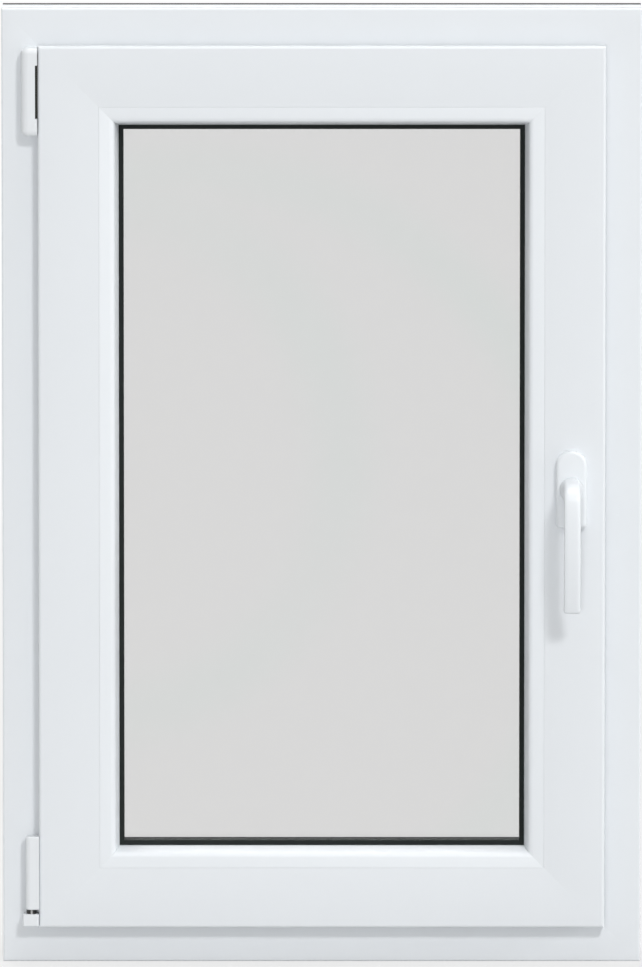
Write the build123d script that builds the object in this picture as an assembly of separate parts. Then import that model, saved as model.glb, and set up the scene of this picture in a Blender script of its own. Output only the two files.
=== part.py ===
from build123d import *
import os

# All sizes in millimetres. X runs to the right seen from the room, Y out of the room, Z up.
# Profile sections are drawn by depth, from the frame's room face towards the outside,
# and by inset, from the frame's outer edge towards the middle of the window.

# Outer frame
WINDOW_WIDTH = 600.0
WINDOW_HEIGHT = 900.0
FRAME_DEPTH = 70.0
FRAME_FACE = 42.0
FRAME_LIP_HEIGHT = 21.0
FRAME_LIP_FALL = 4.0
FRAME_ROUND = 2.0
ANCHOR_GROOVE_WIDTH = 8.0
ANCHOR_GROOVE_DEPTH = 5.0
ANCHOR_GROOVE_SETBACK = 8.0
ANCHOR_GROOVE_LAND = 4.0
PERIMETER_SEAL_WIDTH = 20.0
PERIMETER_SEAL_THICKNESS = 3.0

# Sash
SASH_DEPTH = 70.0
SASH_PROJECTION = 18.0
SASH_OVERLAP = 7.8
SASH_FACE = 57.1
REBATE_GAP = 12.0
SEAL_GAP = 4.0
SEAL_WIDTH = 4.0
SEAL_SETBACK = 3.0
SASH_ROUND = 3.0
SASH_LEG_HEIGHT = 19.7
SASH_LEG_FALL = 4.0

# Glazing
BEAD_HEIGHT = 18.3
BEAD_DEPTH = 24.0
BEAD_LEAN = 4.0
BEAD_SHOULDER = 8.0
BEAD_SEAM = 0.3
CLIP_WIDTH = 5.0
CLIP_HEIGHT = 5.0
CLIP_SETBACK = 12.0
CLIP_CLEARANCE = 0.3
PANE_THICKNESS = 4.0
CAVITY = 16.0
GLASS_EDGE_GAP = 4.7
SPACER_HEIGHT = 16.0
SPACER_SETBACK = 1.0
INNER_GASKET = 3.0
OUTER_GASKET = 4.0
GASKET_SIGHT = 4.3
GASKET_LIP = 1.0
GASKET_ROOT = 10.0

# Hinges, on the left of the frame's room face
HINGE_PIN_INSET = 27.0
HINGE_PIN_REACH = 10.0
HINGE_PIN_DIAMETER = 5.0
HINGE_FIT = 0.3
PIN_CLEARANCE = 0.1
KNUCKLE_DIAMETER = 10.0
TOP_CAP_DROP = 35.5
TOP_CAP_HEIGHT = 83.5
TOP_CAP_WIDTH = 15.2
TOP_CAP_GAP = 0.3
TOP_CAP_REACH = 20.0
TOP_CAP_WALL = 1.5
TOP_CAP_ROUND = 7.0
TOP_CAP_END_WALL = 3.5
TOP_CAP_END_ROUND = 6.0
TOP_SLOT_WIDTH = 2.0
TOP_SLOT_HEIGHT = 50.0
BEARING_PLATE = 2.5
ARM_PLATE = 1.5
ARM_WEB = 3.0
SLEEVE_BASE = 51.3
SLEEVE_HEIGHT = 69.0
SLEEVE_WIDTH = 12.7
SLEEVE_REACH = 18.5
SLEEVE_FRAME_GAP = 3.0
SLEEVE_ROUND = 5.0
SLEEVE_END_BEVEL = 0.8
PIN_ENGAGEMENT = 12.0
BUSH_DIAMETER = 10.0
BLOCK_BASE = 36.3
BLOCK_HEIGHT = 10.8
BLOCK_WIDTH = 15.3
BLOCK_REACH = 19.0
BLOCK_ROUND = 1.5
BLOCK_BEVEL = 0.5

# Handle, on the right stile of the sash
HANDLE_SETBACK = 31.8
ROSETTE_WIDTH = 29.0
ROSETTE_HEIGHT = 73.0
ROSETTE_THICKNESS = 10.0
ROSETTE_CROWN = 0.6
ROSETTE_FOOT_ROUND = 4.0
ROSETTE_EDGE_ROUND = 3.5
COLLAR_DIAMETER = 22.5
COLLAR_SEAT = 3.0
COLLAR_STAND = 3.0
COLLAR_CLEARANCE = 0.3
LEVER_WIDTH = 15.5
NECK_HEIGHT = 19.0
NECK_REACH = 38.0
NECK_TIP_INSET = 0.5
LEVER_REACH = 59.0
LEVER_LENGTH = 113.0
LEVER_THICKNESS = 10.0
LEVER_END_THICKNESS = 8.0
LEVER_BOW = 15.0
ELBOW_ROUND = 17.0
CROOK_ROUND = 9.0
LEVER_EDGE_ROUND = 1.8
LEVER_BACK_BEVEL = 1.0
SPINDLE_SIZE = 7.0
SPINDLE_SOCKET = 14.0
SPINDLE_DEPTH = 30.0
SPINDLE_CLEARANCE = 1.0

# Drain caps, on the outside of the sill
DRAIN_CAP_WIDTH = 42.0
DRAIN_CAP_HEIGHT = 12.0
DRAIN_CAP_THICKNESS = 4.0
DRAIN_CAP_WALL = 1.2
DRAIN_CAP_INSET = 18.0
DRAIN_CAP_SPACING = 300.0

# Depths and insets that follow from the sizes above
ROOM_FACE_Y = -FRAME_DEPTH / 2
SASH_FACE_Y = ROOM_FACE_Y - SASH_PROJECTION
SASH_BACK = SASH_DEPTH - SASH_PROJECTION
LIP_FRONT = SASH_BACK + SEAL_GAP
FRAME_LIP_EDGE = FRAME_FACE + FRAME_LIP_HEIGHT
SASH_EDGE = FRAME_FACE - SASH_OVERLAP
SASH_BODY = FRAME_FACE + REBATE_GAP
BEAD_FLOOR = SASH_EDGE + SASH_FACE
BEAD_EDGE = BEAD_FLOOR + BEAD_HEIGHT
BEAD_BACK = BEAD_DEPTH - SASH_PROJECTION
GLASS_FRONT = BEAD_BACK + INNER_GASKET
INNER_PANE_BACK = GLASS_FRONT + PANE_THICKNESS
OUTER_PANE_FRONT = INNER_PANE_BACK + CAVITY
GLASS_BACK = OUTER_PANE_FRONT + PANE_THICKNESS
LEG_FRONT = GLASS_BACK + OUTER_GASKET
LEG_EDGE = BEAD_FLOOR + SASH_LEG_HEIGHT
GLASS_EDGE = BEAD_FLOOR + GLASS_EDGE_GAP
SIGHT_EDGE = BEAD_EDGE + GASKET_SIGHT
CLIP_FRONT = CLIP_SETBACK - SASH_PROJECTION
CLIP_BACK = CLIP_FRONT + CLIP_WIDTH
TOP_CAP_BASE = WINDOW_HEIGHT - TOP_CAP_DROP - TOP_CAP_HEIGHT
HANDLE_X = WINDOW_WIDTH / 2 - SASH_EDGE - HANDLE_SETBACK
HANDLE_Z = WINDOW_HEIGHT / 2
COLLAR_BACK = ROSETTE_THICKNESS - COLLAR_SEAT + COLLAR_CLEARANCE
COLLAR_FRONT = ROSETTE_THICKNESS + COLLAR_STAND
SPINDLE_HOLE_RADIUS = SPINDLE_SIZE / 2 ** 0.5 + SPINDLE_CLEARANCE

# Each side of the window: where its outer edge starts, how it is turned, and how long it runs.
SIDES = {
    "bottom": (Location((-WINDOW_WIDTH / 2, 0, 0)), WINDOW_WIDTH),
    "right": (Location((WINDOW_WIDTH / 2, 0, 0), (0, -90, 0)), WINDOW_HEIGHT),
    "top": (Location((WINDOW_WIDTH / 2, 0, WINDOW_HEIGHT), (0, 180, 0)), WINDOW_WIDTH),
    "left": (Location((-WINDOW_WIDTH / 2, 0, WINDOW_HEIGHT), (0, 90, 0)), WINDOW_HEIGHT),
}

# The handle's own plane: X right, Y up, normal out of the sash towards the room.
HANDLE_PLANE = Plane(origin=(HANDLE_X, SASH_FACE_Y, HANDLE_Z), x_dir=(1, 0, 0), z_dir=(0, -1, 0))

# A round or square piece centred on its axis, rising from its base.
ON_AXIS = (Align.CENTER, Align.CENTER, Align.MIN)


def section(corners):
    """Section across a profile, from (depth, inset, corner radius) points in order."""
    outline = make_face(Polyline([(depth, inset) for depth, inset, _ in corners], close=True))
    for depth, inset, radius in corners:
        if radius:
            corner = outline.vertices().sort_by_distance((depth, inset, 0))[0]
            outline = fillet(corner, radius)
    return outline


def member(outline, side):
    """One side's run of a profile, mitred at both ends where it meets its neighbours."""
    place, length = SIDES[side]
    bar = extrude(Plane.YZ * Pos(ROOM_FACE_Y, 0) * outline, length)
    reach = bar.bounding_box().max.Z
    trapezium = make_face(Polyline((0, 0), (length, 0), (length - reach, reach), (reach, reach), close=True))
    wedge = extrude(Plane.XZ * trapezium, FRAME_DEPTH + SASH_DEPTH, both=True)
    return place * (bar & wedge)


def ring(outline):
    """A profile carried round all four sides, its corners joined."""
    bars = [member(outline, side) for side in SIDES]
    return bars[0] + bars[1:]


def frame_section():
    """Outer frame: room leg, rebate, exterior lip that falls outwards, and grooves for wall anchors."""
    seal_front = FRAME_DEPTH - PERIMETER_SEAL_WIDTH
    corners = [
        (0, 0, FRAME_ROUND),
        (0, FRAME_FACE, FRAME_ROUND),
        (LIP_FRONT, FRAME_FACE, 0),
        (LIP_FRONT, FRAME_LIP_EDGE, FRAME_ROUND),
        (FRAME_DEPTH, FRAME_LIP_EDGE - FRAME_LIP_FALL, FRAME_ROUND),
        (FRAME_DEPTH, PERIMETER_SEAL_THICKNESS, 0),
        (seal_front, PERIMETER_SEAL_THICKNESS, 0),
        (seal_front, 0, 0),
    ]
    for front in (seal_front - ANCHOR_GROOVE_LAND - ANCHOR_GROOVE_WIDTH, ANCHOR_GROOVE_SETBACK):
        back = front + ANCHOR_GROOVE_WIDTH
        corners += [
            (back, 0, 0),
            (back, ANCHOR_GROOVE_DEPTH, 0),
            (front, ANCHOR_GROOVE_DEPTH, 0),
            (front, 0, 0),
        ]
    return section(corners)


def perimeter_seal_section():
    """Strip of sealing tape let in flush round the frame's outside edge."""
    front = FRAME_DEPTH - PERIMETER_SEAL_WIDTH
    return section([
        (front, 0, 0),
        (front, PERIMETER_SEAL_THICKNESS, 0),
        (FRAME_DEPTH, PERIMETER_SEAL_THICKNESS, 0),
        (FRAME_DEPTH, 0, 0),
    ])


def sash_section():
    """Sash: overlapping lip, body, glazing floor with the bead's clip groove, and the exterior leg."""
    face = -SASH_PROJECTION
    return section([
        (face, SASH_EDGE, SASH_ROUND),
        (face, BEAD_FLOOR, 0),
        (CLIP_FRONT, BEAD_FLOOR, 0),
        (CLIP_FRONT, BEAD_FLOOR - CLIP_HEIGHT, 0),
        (CLIP_BACK, BEAD_FLOOR - CLIP_HEIGHT, 0),
        (CLIP_BACK, BEAD_FLOOR, 0),
        (LEG_FRONT, BEAD_FLOOR, 0),
        (LEG_FRONT, LEG_EDGE, 0),
        (SASH_BACK, LEG_EDGE - SASH_LEG_FALL, SASH_ROUND),
        (SASH_BACK, SASH_BODY, 0),
        (-SEAL_GAP, SASH_BODY, 0),
        (-SEAL_GAP, SASH_EDGE, FRAME_ROUND),
    ])


def bead_section():
    """Glazing bead: flat front, rounded shoulder, leaning inner face, and the foot that clips in."""
    face = -SASH_PROJECTION
    floor = BEAD_FLOOR + BEAD_SEAM
    foot = BEAD_FLOOR - CLIP_HEIGHT + CLIP_CLEARANCE
    return section([
        (face, floor, BEAD_SEAM),
        (face, BEAD_EDGE - BEAD_LEAN, BEAD_SHOULDER),
        (BEAD_BACK, BEAD_EDGE, 0),
        (BEAD_BACK, floor, 0),
        (CLIP_BACK - CLIP_CLEARANCE, floor, 0),
        (CLIP_BACK - CLIP_CLEARANCE, foot, 0),
        (CLIP_FRONT + CLIP_CLEARANCE, foot, 0),
        (CLIP_FRONT + CLIP_CLEARANCE, floor, 0),
    ])


def inner_gasket_section():
    """Gasket between bead and inner pane, with a sloping lip that shows past the bead."""
    return section([
        (BEAD_BACK, BEAD_EDGE - GASKET_ROOT, 0),
        (BEAD_BACK, BEAD_EDGE, 0),
        (GLASS_FRONT - GASKET_LIP, SIGHT_EDGE, 0),
        (GLASS_FRONT, SIGHT_EDGE, 0),
        (GLASS_FRONT, BEAD_EDGE - GASKET_ROOT, 0),
    ])


def outer_gasket_section():
    """Gasket between outer pane and the sash's exterior leg, with the same lip."""
    return section([
        (LEG_FRONT, LEG_EDGE - GASKET_ROOT, 0),
        (LEG_FRONT, LEG_EDGE, 0),
        (GLASS_BACK + GASKET_LIP, SIGHT_EDGE, 0),
        (GLASS_BACK, SIGHT_EDGE, 0),
        (GLASS_BACK, LEG_EDGE - GASKET_ROOT, 0),
    ])


def spacer_section():
    """Bar that holds the two panes apart round their edge."""
    outer = GLASS_EDGE + SPACER_SETBACK
    return section([
        (INNER_PANE_BACK, outer, 0),
        (INNER_PANE_BACK, outer + SPACER_HEIGHT, 0),
        (OUTER_PANE_FRONT, outer + SPACER_HEIGHT, 0),
        (OUTER_PANE_FRONT, outer, 0),
    ])


def lip_seal_section(seat, tip, inset):
    """Seal from its seat to the face it closes on, narrowing towards its tip."""
    taper = SEAL_WIDTH / 4
    return section([
        (seat, inset, 0),
        (seat, inset + SEAL_WIDTH, 0),
        (tip, inset + SEAL_WIDTH - taper, 0),
        (tip, inset + taper, 0),
    ])


def pane(front):
    """One sheet of glass, its edges set back from the glazing floor."""
    width = WINDOW_WIDTH - 2 * GLASS_EDGE
    height = WINDOW_HEIGHT - 2 * GLASS_EDGE
    middle = Pos(0, ROOM_FACE_Y + front + PANE_THICKNESS / 2, WINDOW_HEIGHT / 2)
    return middle * Box(width, PANE_THICKNESS, height)


def lock_stile():
    """Sash stile on the handle's side, drilled for the spindle."""
    hole = HANDLE_PLANE * Cylinder(
        SPINDLE_HOLE_RADIUS,
        SPINDLE_DEPTH + SPINDLE_CLEARANCE,
        align=(Align.CENTER, Align.CENTER, Align.MAX),
    )
    return member(sash_section(), "right") - hole


def hinge_box(inset, reach, base, width, depth, height):
    """Block on the left of the frame: its left edge, how far it stands into the room, and its base."""
    corner = Pos(inset - WINDOW_WIDTH / 2, ROOM_FACE_Y - reach, base)
    return corner * Box(width, depth, height, align=Align.MIN)


def hinge_barrel(diameter, base, height):
    """Upright cylinder on the hinge line."""
    centre = Pos(HINGE_PIN_INSET - WINDOW_WIDTH / 2, ROOM_FACE_Y - HINGE_PIN_REACH, base)
    return centre * Cylinder(diameter / 2, height, align=ON_AXIS)


def room_edges(block):
    """Upright edges at the front of a hinge block."""
    return block.edges().filter_by(Axis.Z).group_by(Axis.Y)[0]


def top_hinge_cap():
    """Moulded cover over the upper hinge, open at the back and towards the sash, slotted for the arm."""
    left = SASH_EDGE - TOP_CAP_GAP - TOP_CAP_WIDTH
    block = hinge_box(left, TOP_CAP_REACH, TOP_CAP_BASE, TOP_CAP_WIDTH, TOP_CAP_REACH, TOP_CAP_HEIGHT)
    block = fillet(room_edges(block).sort_by(Axis.X)[0], TOP_CAP_ROUND)
    ends = block.faces().filter_by(Axis.Z)
    open_side = left + TOP_CAP_WIDTH - WINDOW_WIDTH / 2
    rims = [edge for edge in ends.edges() if edge.center().Y < ROOM_FACE_Y - TOP_CAP_WALL]
    rims = [edge for edge in rims if edge.center().X < open_side - TOP_CAP_WALL]
    block = fillet(rims, TOP_CAP_END_ROUND)
    hollow = hinge_box(
        left + TOP_CAP_WALL,
        TOP_CAP_REACH - TOP_CAP_WALL,
        TOP_CAP_BASE + TOP_CAP_END_WALL,
        TOP_CAP_WIDTH,
        TOP_CAP_REACH,
        TOP_CAP_HEIGHT - 2 * TOP_CAP_END_WALL,
    )
    hollow = fillet(room_edges(hollow).sort_by(Axis.X)[0], TOP_CAP_ROUND - TOP_CAP_WALL)
    slot = hinge_box(
        SASH_EDGE - TOP_CAP_GAP - TOP_SLOT_WIDTH,
        TOP_CAP_REACH,
        TOP_CAP_BASE + (TOP_CAP_HEIGHT - TOP_SLOT_HEIGHT) / 2,
        TOP_SLOT_WIDTH,
        TOP_CAP_WALL,
        TOP_SLOT_HEIGHT,
    )
    return block - hollow - slot


def top_hinge_spans():
    """Bases and heights of the lower knuckle, the arm's knuckle and the upper knuckle."""
    base = TOP_CAP_BASE + TOP_CAP_END_WALL + HINGE_FIT
    end = (TOP_CAP_HEIGHT - TOP_SLOT_HEIGHT) / 2 - TOP_CAP_END_WALL - HINGE_FIT
    arm = base + end + HINGE_FIT
    arm_height = TOP_SLOT_HEIGHT - 2 * HINGE_FIT
    return (base, end), (arm, arm_height), (arm + arm_height + HINGE_FIT, end)


def top_hinge_bearing():
    """Plate on the frame with two knuckles that carry the upper pin."""
    lower, _, upper = top_hinge_spans()
    left = HINGE_PIN_INSET - KNUCKLE_DIAMETER / 2
    height = upper[0] + upper[1] - lower[0]
    bearing = hinge_box(left, BEARING_PLATE, lower[0], KNUCKLE_DIAMETER, BEARING_PLATE, height)
    for base, span in (lower, upper):
        bearing += hinge_box(left, HINGE_PIN_REACH, base, KNUCKLE_DIAMETER, HINGE_PIN_REACH, span)
        bearing += hinge_barrel(KNUCKLE_DIAMETER, base, span)
    return bearing - hinge_barrel(HINGE_PIN_DIAMETER, lower[0], height)


def top_hinge_pin():
    """Pin through the upper knuckles."""
    lower, _, upper = top_hinge_spans()
    return hinge_barrel(HINGE_PIN_DIAMETER, lower[0], upper[0] + upper[1] - lower[0])


def top_hinge_arm():
    """Arm between the knuckles, with a web and a plate against the sash's edge."""
    _, (base, height), _ = top_hinge_spans()
    web = hinge_box(
        HINGE_PIN_INSET,
        HINGE_PIN_REACH + ARM_WEB / 2,
        base,
        SASH_EDGE - HINGE_PIN_INSET,
        ARM_WEB,
        height,
    )
    plate = hinge_box(
        SASH_EDGE - ARM_PLATE,
        HINGE_PIN_REACH + KNUCKLE_DIAMETER / 2,
        base,
        ARM_PLATE,
        KNUCKLE_DIAMETER,
        height,
    )
    arm = hinge_barrel(KNUCKLE_DIAMETER, base, height) + web + plate
    return arm - hinge_barrel(HINGE_PIN_DIAMETER + 2 * PIN_CLEARANCE, base, height)


def bottom_hinge_sleeve():
    """Rounded sleeve on the sash's edge that drops over the lower pin."""
    left = SASH_EDGE - SLEEVE_WIDTH
    depth = SLEEVE_REACH - SLEEVE_FRAME_GAP
    sleeve = hinge_box(left, SLEEVE_REACH, SLEEVE_BASE, SLEEVE_WIDTH, depth, SLEEVE_HEIGHT)
    sleeve = fillet(sleeve.edges().filter_by(Axis.Z).group_by(Axis.X)[0], SLEEVE_ROUND)
    ends = sleeve.faces().filter_by(Axis.Z)
    against_sash = SASH_EDGE - WINDOW_WIDTH / 2 - SLEEVE_END_BEVEL / 2
    rims = [edge for edge in ends.edges() if edge.center().X < against_sash]
    sleeve = chamfer(rims, SLEEVE_END_BEVEL)
    return sleeve - hinge_barrel(HINGE_PIN_DIAMETER + 2 * PIN_CLEARANCE, SLEEVE_BASE, PIN_ENGAGEMENT)


def bottom_hinge_pin():
    """Pin that stands in the block and carries the sleeve."""
    base = BLOCK_BASE + BLOCK_HEIGHT / 2
    return hinge_barrel(HINGE_PIN_DIAMETER, base, SLEEVE_BASE + PIN_ENGAGEMENT - base)


def bottom_hinge_block():
    """Bearing block on the frame under the lower pin."""
    left = SASH_EDGE - BLOCK_WIDTH
    block = hinge_box(left, BLOCK_REACH, BLOCK_BASE, BLOCK_WIDTH - HINGE_FIT, BLOCK_REACH, BLOCK_HEIGHT)
    block = fillet(room_edges(block), BLOCK_ROUND)
    top = block.faces().sort_by(Axis.Z)[-1]
    rims = [edge for edge in top.edges() if edge.center().Y < ROOM_FACE_Y - BLOCK_BEVEL / 2]
    block = chamfer(rims, BLOCK_BEVEL)
    socket = hinge_barrel(HINGE_PIN_DIAMETER, BLOCK_BASE + BLOCK_HEIGHT / 2, BLOCK_HEIGHT)
    return block - socket


def bottom_hinge_bush():
    """Dark bush round the lower pin, between block and sleeve."""
    base = BLOCK_BASE + BLOCK_HEIGHT
    height = SLEEVE_BASE - base
    bush = hinge_barrel(BUSH_DIAMETER, base, height)
    return bush - hinge_barrel(HINGE_PIN_DIAMETER + 2 * PIN_CLEARANCE, base, height)


def handle_rosette():
    """Cover plate on the stile with a round head, bored for the spindle and recessed for the collar."""
    plate = Rectangle(ROSETTE_WIDTH, ROSETTE_HEIGHT)
    head_round = (ROSETTE_WIDTH - ROSETTE_CROWN) / 2
    plate = fillet(plate.vertices().group_by(Axis.Y)[-1], head_round)
    plate = fillet(plate.vertices().group_by(Axis.Y)[0], ROSETTE_FOOT_ROUND)
    body = extrude(plate, ROSETTE_THICKNESS)
    body = fillet(body.faces().sort_by(Axis.Z)[-1].edges(), ROSETTE_EDGE_ROUND)
    recess = Pos(0, 0, ROSETTE_THICKNESS - COLLAR_SEAT) * Cylinder(
        COLLAR_DIAMETER / 2 + COLLAR_CLEARANCE,
        COLLAR_SEAT,
        align=ON_AXIS,
    )
    bore = Cylinder(SPINDLE_HOLE_RADIUS, ROSETTE_THICKNESS, align=ON_AXIS)
    return HANDLE_PLANE * (body - recess - bore)


def lever_outline():
    """Side view of the neck, elbow and bowed grip, as (reach into the room, height) from the axis."""
    half = NECK_HEIGHT / 2
    elbow_top = (LEVER_REACH - ELBOW_ROUND, half)
    elbow_out = (LEVER_REACH, half - ELBOW_ROUND)
    grip_back = LEVER_REACH - LEVER_THICKNESS
    crook_top = (grip_back - CROOK_ROUND, -half)
    crook_out = (grip_back, -half - CROOK_ROUND)
    tip_front = (LEVER_REACH - LEVER_BOW, -LEVER_LENGTH)
    tip_back = (LEVER_REACH - LEVER_BOW - LEVER_END_THICKNESS, -LEVER_LENGTH)
    edges = [
        Line((COLLAR_FRONT, half), elbow_top),
        TangentArc(elbow_top, elbow_out, tangent=(1, 0)),
        TangentArc(elbow_out, tip_front, tangent=(0, -1)),
        Line(tip_front, tip_back),
        TangentArc(crook_out, tip_back, tangent=(0, -1)),
        TangentArc(crook_top, crook_out, tangent=(1, 0)),
        Line(crook_top, (COLLAR_FRONT, -half)),
        Line((COLLAR_FRONT, -half), (COLLAR_FRONT, half)),
    ]
    return make_face(edges)


def lever_rims(bar, at_back):
    """Edges down both sides of the lever's bar: those that face the sash, or the others."""
    rims = bar.faces().filter_by(Axis.X).edges()
    rims = [edge for edge in rims if edge.center().Z > COLLAR_FRONT + LEVER_EDGE_ROUND / 2]
    back = [
        edge for edge in rims
        if LEVER_END_THICKNESS - LEVER_LENGTH < edge.center().Y < 0
        and edge.center().Z < LEVER_REACH - LEVER_THICKNESS
    ]
    return back if at_back else [edge for edge in rims if edge not in back]


def handle_lever():
    """Cast lever: round collar, neck that tapers into the bar, elbow and bowed grip."""
    side_view = Plane(origin=(0, 0, 0), x_dir=(0, 0, 1), z_dir=(-1, 0, 0))
    bar = extrude(side_view * lever_outline(), LEVER_WIDTH / 2, both=True)
    bar = fillet(lever_rims(bar, at_back=False), LEVER_EDGE_ROUND)
    bar = chamfer(lever_rims(bar, at_back=True), LEVER_BACK_BEVEL)
    collar = Pos(0, 0, COLLAR_BACK) * Cylinder(COLLAR_DIAMETER / 2, COLLAR_FRONT - COLLAR_BACK, align=ON_AXIS)
    neck = Pos(0, 0, COLLAR_FRONT) * Cone(
        COLLAR_DIAMETER / 2,
        LEVER_WIDTH / 2 - NECK_TIP_INSET,
        NECK_REACH - COLLAR_FRONT,
        align=ON_AXIS,
    )
    socket = Pos(0, 0, COLLAR_BACK) * Box(SPINDLE_SIZE, SPINDLE_SIZE, SPINDLE_SOCKET, align=ON_AXIS)
    return HANDLE_PLANE * (collar + neck + bar - socket)


def handle_spindle():
    """Square bar from the lever's socket through the rosette into the lock stile."""
    length = SPINDLE_DEPTH + COLLAR_BACK + SPINDLE_SOCKET
    return HANDLE_PLANE * Pos(0, 0, -SPINDLE_DEPTH) * Box(SPINDLE_SIZE, SPINDLE_SIZE, length, align=ON_AXIS)


def drain_cap(x):
    """Hooded cover over a drain slot on the outside of the sill, open underneath."""
    size = (DRAIN_CAP_WIDTH, DRAIN_CAP_THICKNESS, DRAIN_CAP_HEIGHT)
    hood = Box(*size, align=(Align.CENTER, Align.MIN, Align.CENTER))
    hood = fillet(hood.faces().sort_by(Axis.Y)[-1].edges(), DRAIN_CAP_THICKNESS / 2)
    opening = Pos(0, 0, -DRAIN_CAP_WALL) * Box(
        DRAIN_CAP_WIDTH - 4 * DRAIN_CAP_WALL,
        DRAIN_CAP_THICKNESS - DRAIN_CAP_WALL,
        DRAIN_CAP_HEIGHT,
        align=(Align.CENTER, Align.MIN, Align.CENTER),
    )
    return Pos(x, FRAME_DEPTH / 2, DRAIN_CAP_INSET) * (hood - opening)


def window_parts():
    """Every piece of the window by its name."""
    frame = frame_section()
    sash = sash_section()
    bead = bead_section()
    seal_inset = SASH_EDGE + SEAL_SETBACK
    frame_seal_inset = SASH_BODY + SEAL_SETBACK
    parts = {
        "frame_head": member(frame, "top"),
        "frame_sill": member(frame, "bottom"),
        "frame_jamb_left": member(frame, "left"),
        "frame_jamb_right": member(frame, "right"),
        "sash_top_rail": member(sash, "top"),
        "sash_bottom_rail": member(sash, "bottom"),
        "sash_hinge_stile": member(sash, "left"),
        "sash_lock_stile": lock_stile(),
        "inner_glass_pane": pane(GLASS_FRONT),
        "outer_glass_pane": pane(OUTER_PANE_FRONT),
        "glass_spacer": ring(spacer_section()),
        "inner_glazing_gasket": ring(inner_gasket_section()),
        "outer_glazing_gasket": ring(outer_gasket_section()),
        "sash_seal": ring(lip_seal_section(-SEAL_GAP, 0, seal_inset)),
        "frame_seal": ring(lip_seal_section(LIP_FRONT, SASH_BACK, frame_seal_inset)),
        "perimeter_seal": ring(perimeter_seal_section()),
        "top_hinge_cap": top_hinge_cap(),
        "top_hinge_bearing": top_hinge_bearing(),
        "top_hinge_pin": top_hinge_pin(),
        "top_hinge_arm": top_hinge_arm(),
        "bottom_hinge_sleeve": bottom_hinge_sleeve(),
        "bottom_hinge_pin": bottom_hinge_pin(),
        "bottom_hinge_bush": bottom_hinge_bush(),
        "bottom_hinge_block": bottom_hinge_block(),
        "handle_rosette": handle_rosette(),
        "handle_lever": handle_lever(),
        "handle_spindle": handle_spindle(),
        "drain_cap_left": drain_cap(-DRAIN_CAP_SPACING / 2),
        "drain_cap_right": drain_cap(DRAIN_CAP_SPACING / 2),
    }
    for side in SIDES:
        parts[f"glazing_bead_{side}"] = member(bead, side)
    return parts


os.makedirs("parts", exist_ok=True)
for name, shape in window_parts().items():
    export_step(shape, f"parts/{name}.step")
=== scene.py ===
import math
import bpy
import numpy as np
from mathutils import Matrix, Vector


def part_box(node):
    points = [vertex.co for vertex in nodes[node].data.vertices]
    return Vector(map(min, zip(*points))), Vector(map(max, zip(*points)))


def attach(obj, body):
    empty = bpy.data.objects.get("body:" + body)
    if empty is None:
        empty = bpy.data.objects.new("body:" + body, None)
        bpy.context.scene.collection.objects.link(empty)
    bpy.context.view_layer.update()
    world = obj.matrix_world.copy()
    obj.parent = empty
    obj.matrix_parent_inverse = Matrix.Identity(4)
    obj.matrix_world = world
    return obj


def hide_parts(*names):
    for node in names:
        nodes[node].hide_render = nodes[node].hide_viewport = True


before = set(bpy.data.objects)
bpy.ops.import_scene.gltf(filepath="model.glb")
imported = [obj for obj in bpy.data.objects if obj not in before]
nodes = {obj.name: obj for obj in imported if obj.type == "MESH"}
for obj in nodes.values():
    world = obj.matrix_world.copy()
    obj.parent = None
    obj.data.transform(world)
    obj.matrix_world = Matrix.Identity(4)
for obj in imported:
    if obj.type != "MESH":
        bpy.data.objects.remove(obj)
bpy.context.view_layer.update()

# Outer frame
# Four lengths of extruded white plastic profile, cut at 45 degrees and welded at the corners.
# The room leg is the margin seen round the sash, and the lip at the back stops the sash from outside.
FRAME_FACE = 0.042
FRAME_LIP_HEIGHT = 0.021
FRAME_LIP_FALL = 0.004
FRAME_LIP_DEPTH = 0.014
FRAME_ROUND = 0.002
GROOVE_WIDTH = 0.008
GROOVE_DEPTH = 0.005
GROOVE_SETBACK = 0.008
GROOVE_LAND = 0.004
TAPE_WIDTH = 0.020
TAPE_THICKNESS = 0.003
WELD_DEPTH = 0.000015
WELD_WIDTH = 0.0006
ARC_STEPS = 9
SMOOTH_ANGLE = 35
SKIN_HEIGHT = 0.0002
PVC_WHITE = (0.787, 0.817, 0.845)
PVC_ROUGHNESS = 0.45
PVC_IOR = 1.5

sill_low, sill_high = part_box("frame_sill")
_, head_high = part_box("frame_head")
WINDOW_WIDTH = sill_high.x - sill_low.x
WINDOW_HEIGHT = head_high.z - sill_low.z
ROOM_FACE = sill_low.y
FRAME_DEPTH = sill_high.y - sill_low.y
LIP_FRONT = FRAME_DEPTH - FRAME_LIP_DEPTH
FRAME_LIP_EDGE = FRAME_FACE + FRAME_LIP_HEIGHT

# Each side's corner, the way it runs, the way to the window's middle, and its length.
HALF = WINDOW_WIDTH / 2
SIDES = {
    "bottom": ((-HALF, 0.0), (1, 0), (0, 1), WINDOW_WIDTH),
    "right": ((HALF, 0.0), (0, 1), (-1, 0), WINDOW_HEIGHT),
    "top": ((HALF, WINDOW_HEIGHT), (-1, 0), (0, -1), WINDOW_WIDTH),
    "left": ((-HALF, WINDOW_HEIGHT), (0, -1), (1, 0), WINDOW_HEIGHT),
}


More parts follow.
